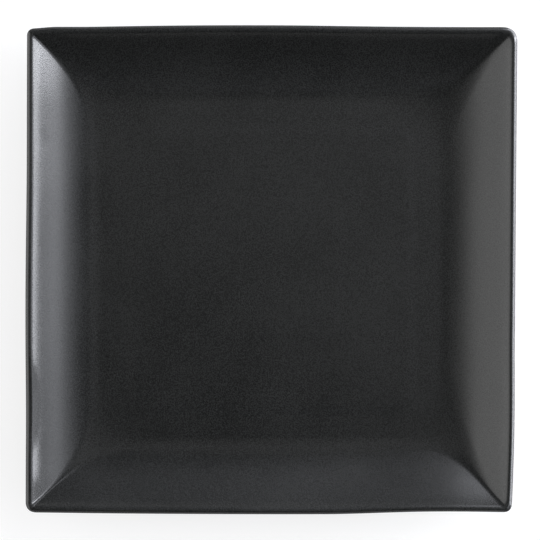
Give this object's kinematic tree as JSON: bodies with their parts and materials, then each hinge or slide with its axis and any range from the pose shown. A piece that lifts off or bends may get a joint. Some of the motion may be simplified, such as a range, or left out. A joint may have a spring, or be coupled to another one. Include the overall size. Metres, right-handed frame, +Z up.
{
  "type": "square dinner plate",
  "caption": "Square dinner plate with a flat well, rising walls, a rounded lip and a square foot ring, in satin glazed stoneware.",
  "frame": {"origin": "centre of the resting plane under the foot ring", "axes": "+Z up out of the well; X and Y along the sides"},
  "size_m": [0.267, 0.267, 0.025],
  "materials": {
    "clay": "fired stoneware, bare and matte",
    "face_glaze": "satin black glaze with a fine grain",
    "base_glaze": "satin black glaze with a fine grain"
  },
  "bodies": {
    "root": {"stoneware_body": "clay", "face_glaze": "face_glaze", "base_glaze": "base_glaze"}
  },
  "joints": []
}
